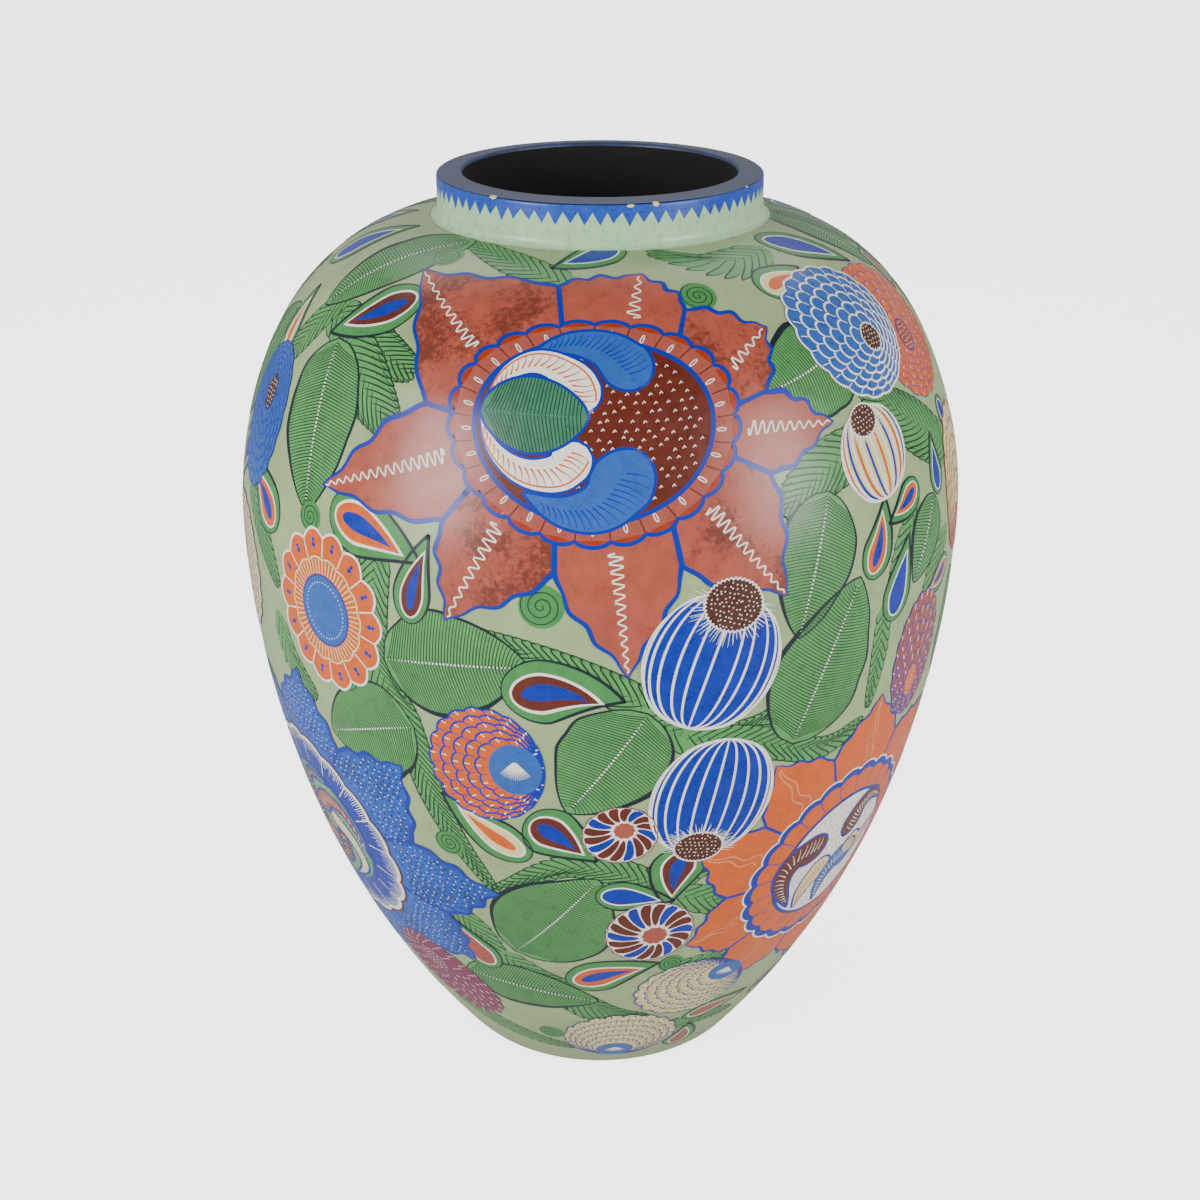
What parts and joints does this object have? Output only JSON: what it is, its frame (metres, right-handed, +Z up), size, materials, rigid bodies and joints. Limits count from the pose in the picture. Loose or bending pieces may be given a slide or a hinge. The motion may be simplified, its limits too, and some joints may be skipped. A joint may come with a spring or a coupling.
{
  "type": "painted pottery vase",
  "caption": "Large egg-shaped earthenware vase with a short upright neck, thick flat rim and flat foot, painted all over with flowers and leaves.",
  "frame": {"origin": "centre of the resting face of the foot, on the vase's axis", "axes": "+Z up along the vase's axis; -Y is the side whose large pink flower faces the viewer"},
  "size_m": [0.435, 0.435, 0.5598],
  "materials": {
    "clay": "fired earthenware, bare and matt",
    "coil_clay": "fired earthenware, finger-smeared",
    "painted_slip": "sage green slip painted with flowers and leaves, burnished and clear varnished to a satin gloss",
    "pale_green_slip": "pale green slip, satin",
    "blue_slip": "slate blue slip, satin, worn on the rim",
    "black_slip": "black slip, matt"
  },
  "bodies": {
    "root": {"base_slab": "clay", "lower_bowl": "clay", "upper_dome": "clay", "neck_collar": "clay", "rim_coil": "clay", "base_seam_coil": "coil_clay", "belly_seam_coil": "coil_clay", "neck_seam_coil": "coil_clay", "body_slip": "painted_slip", "collar_slip": "pale_green_slip", "rim_slip": "blue_slip", "inside_slip": "black_slip"}
  },
  "joints": []
}
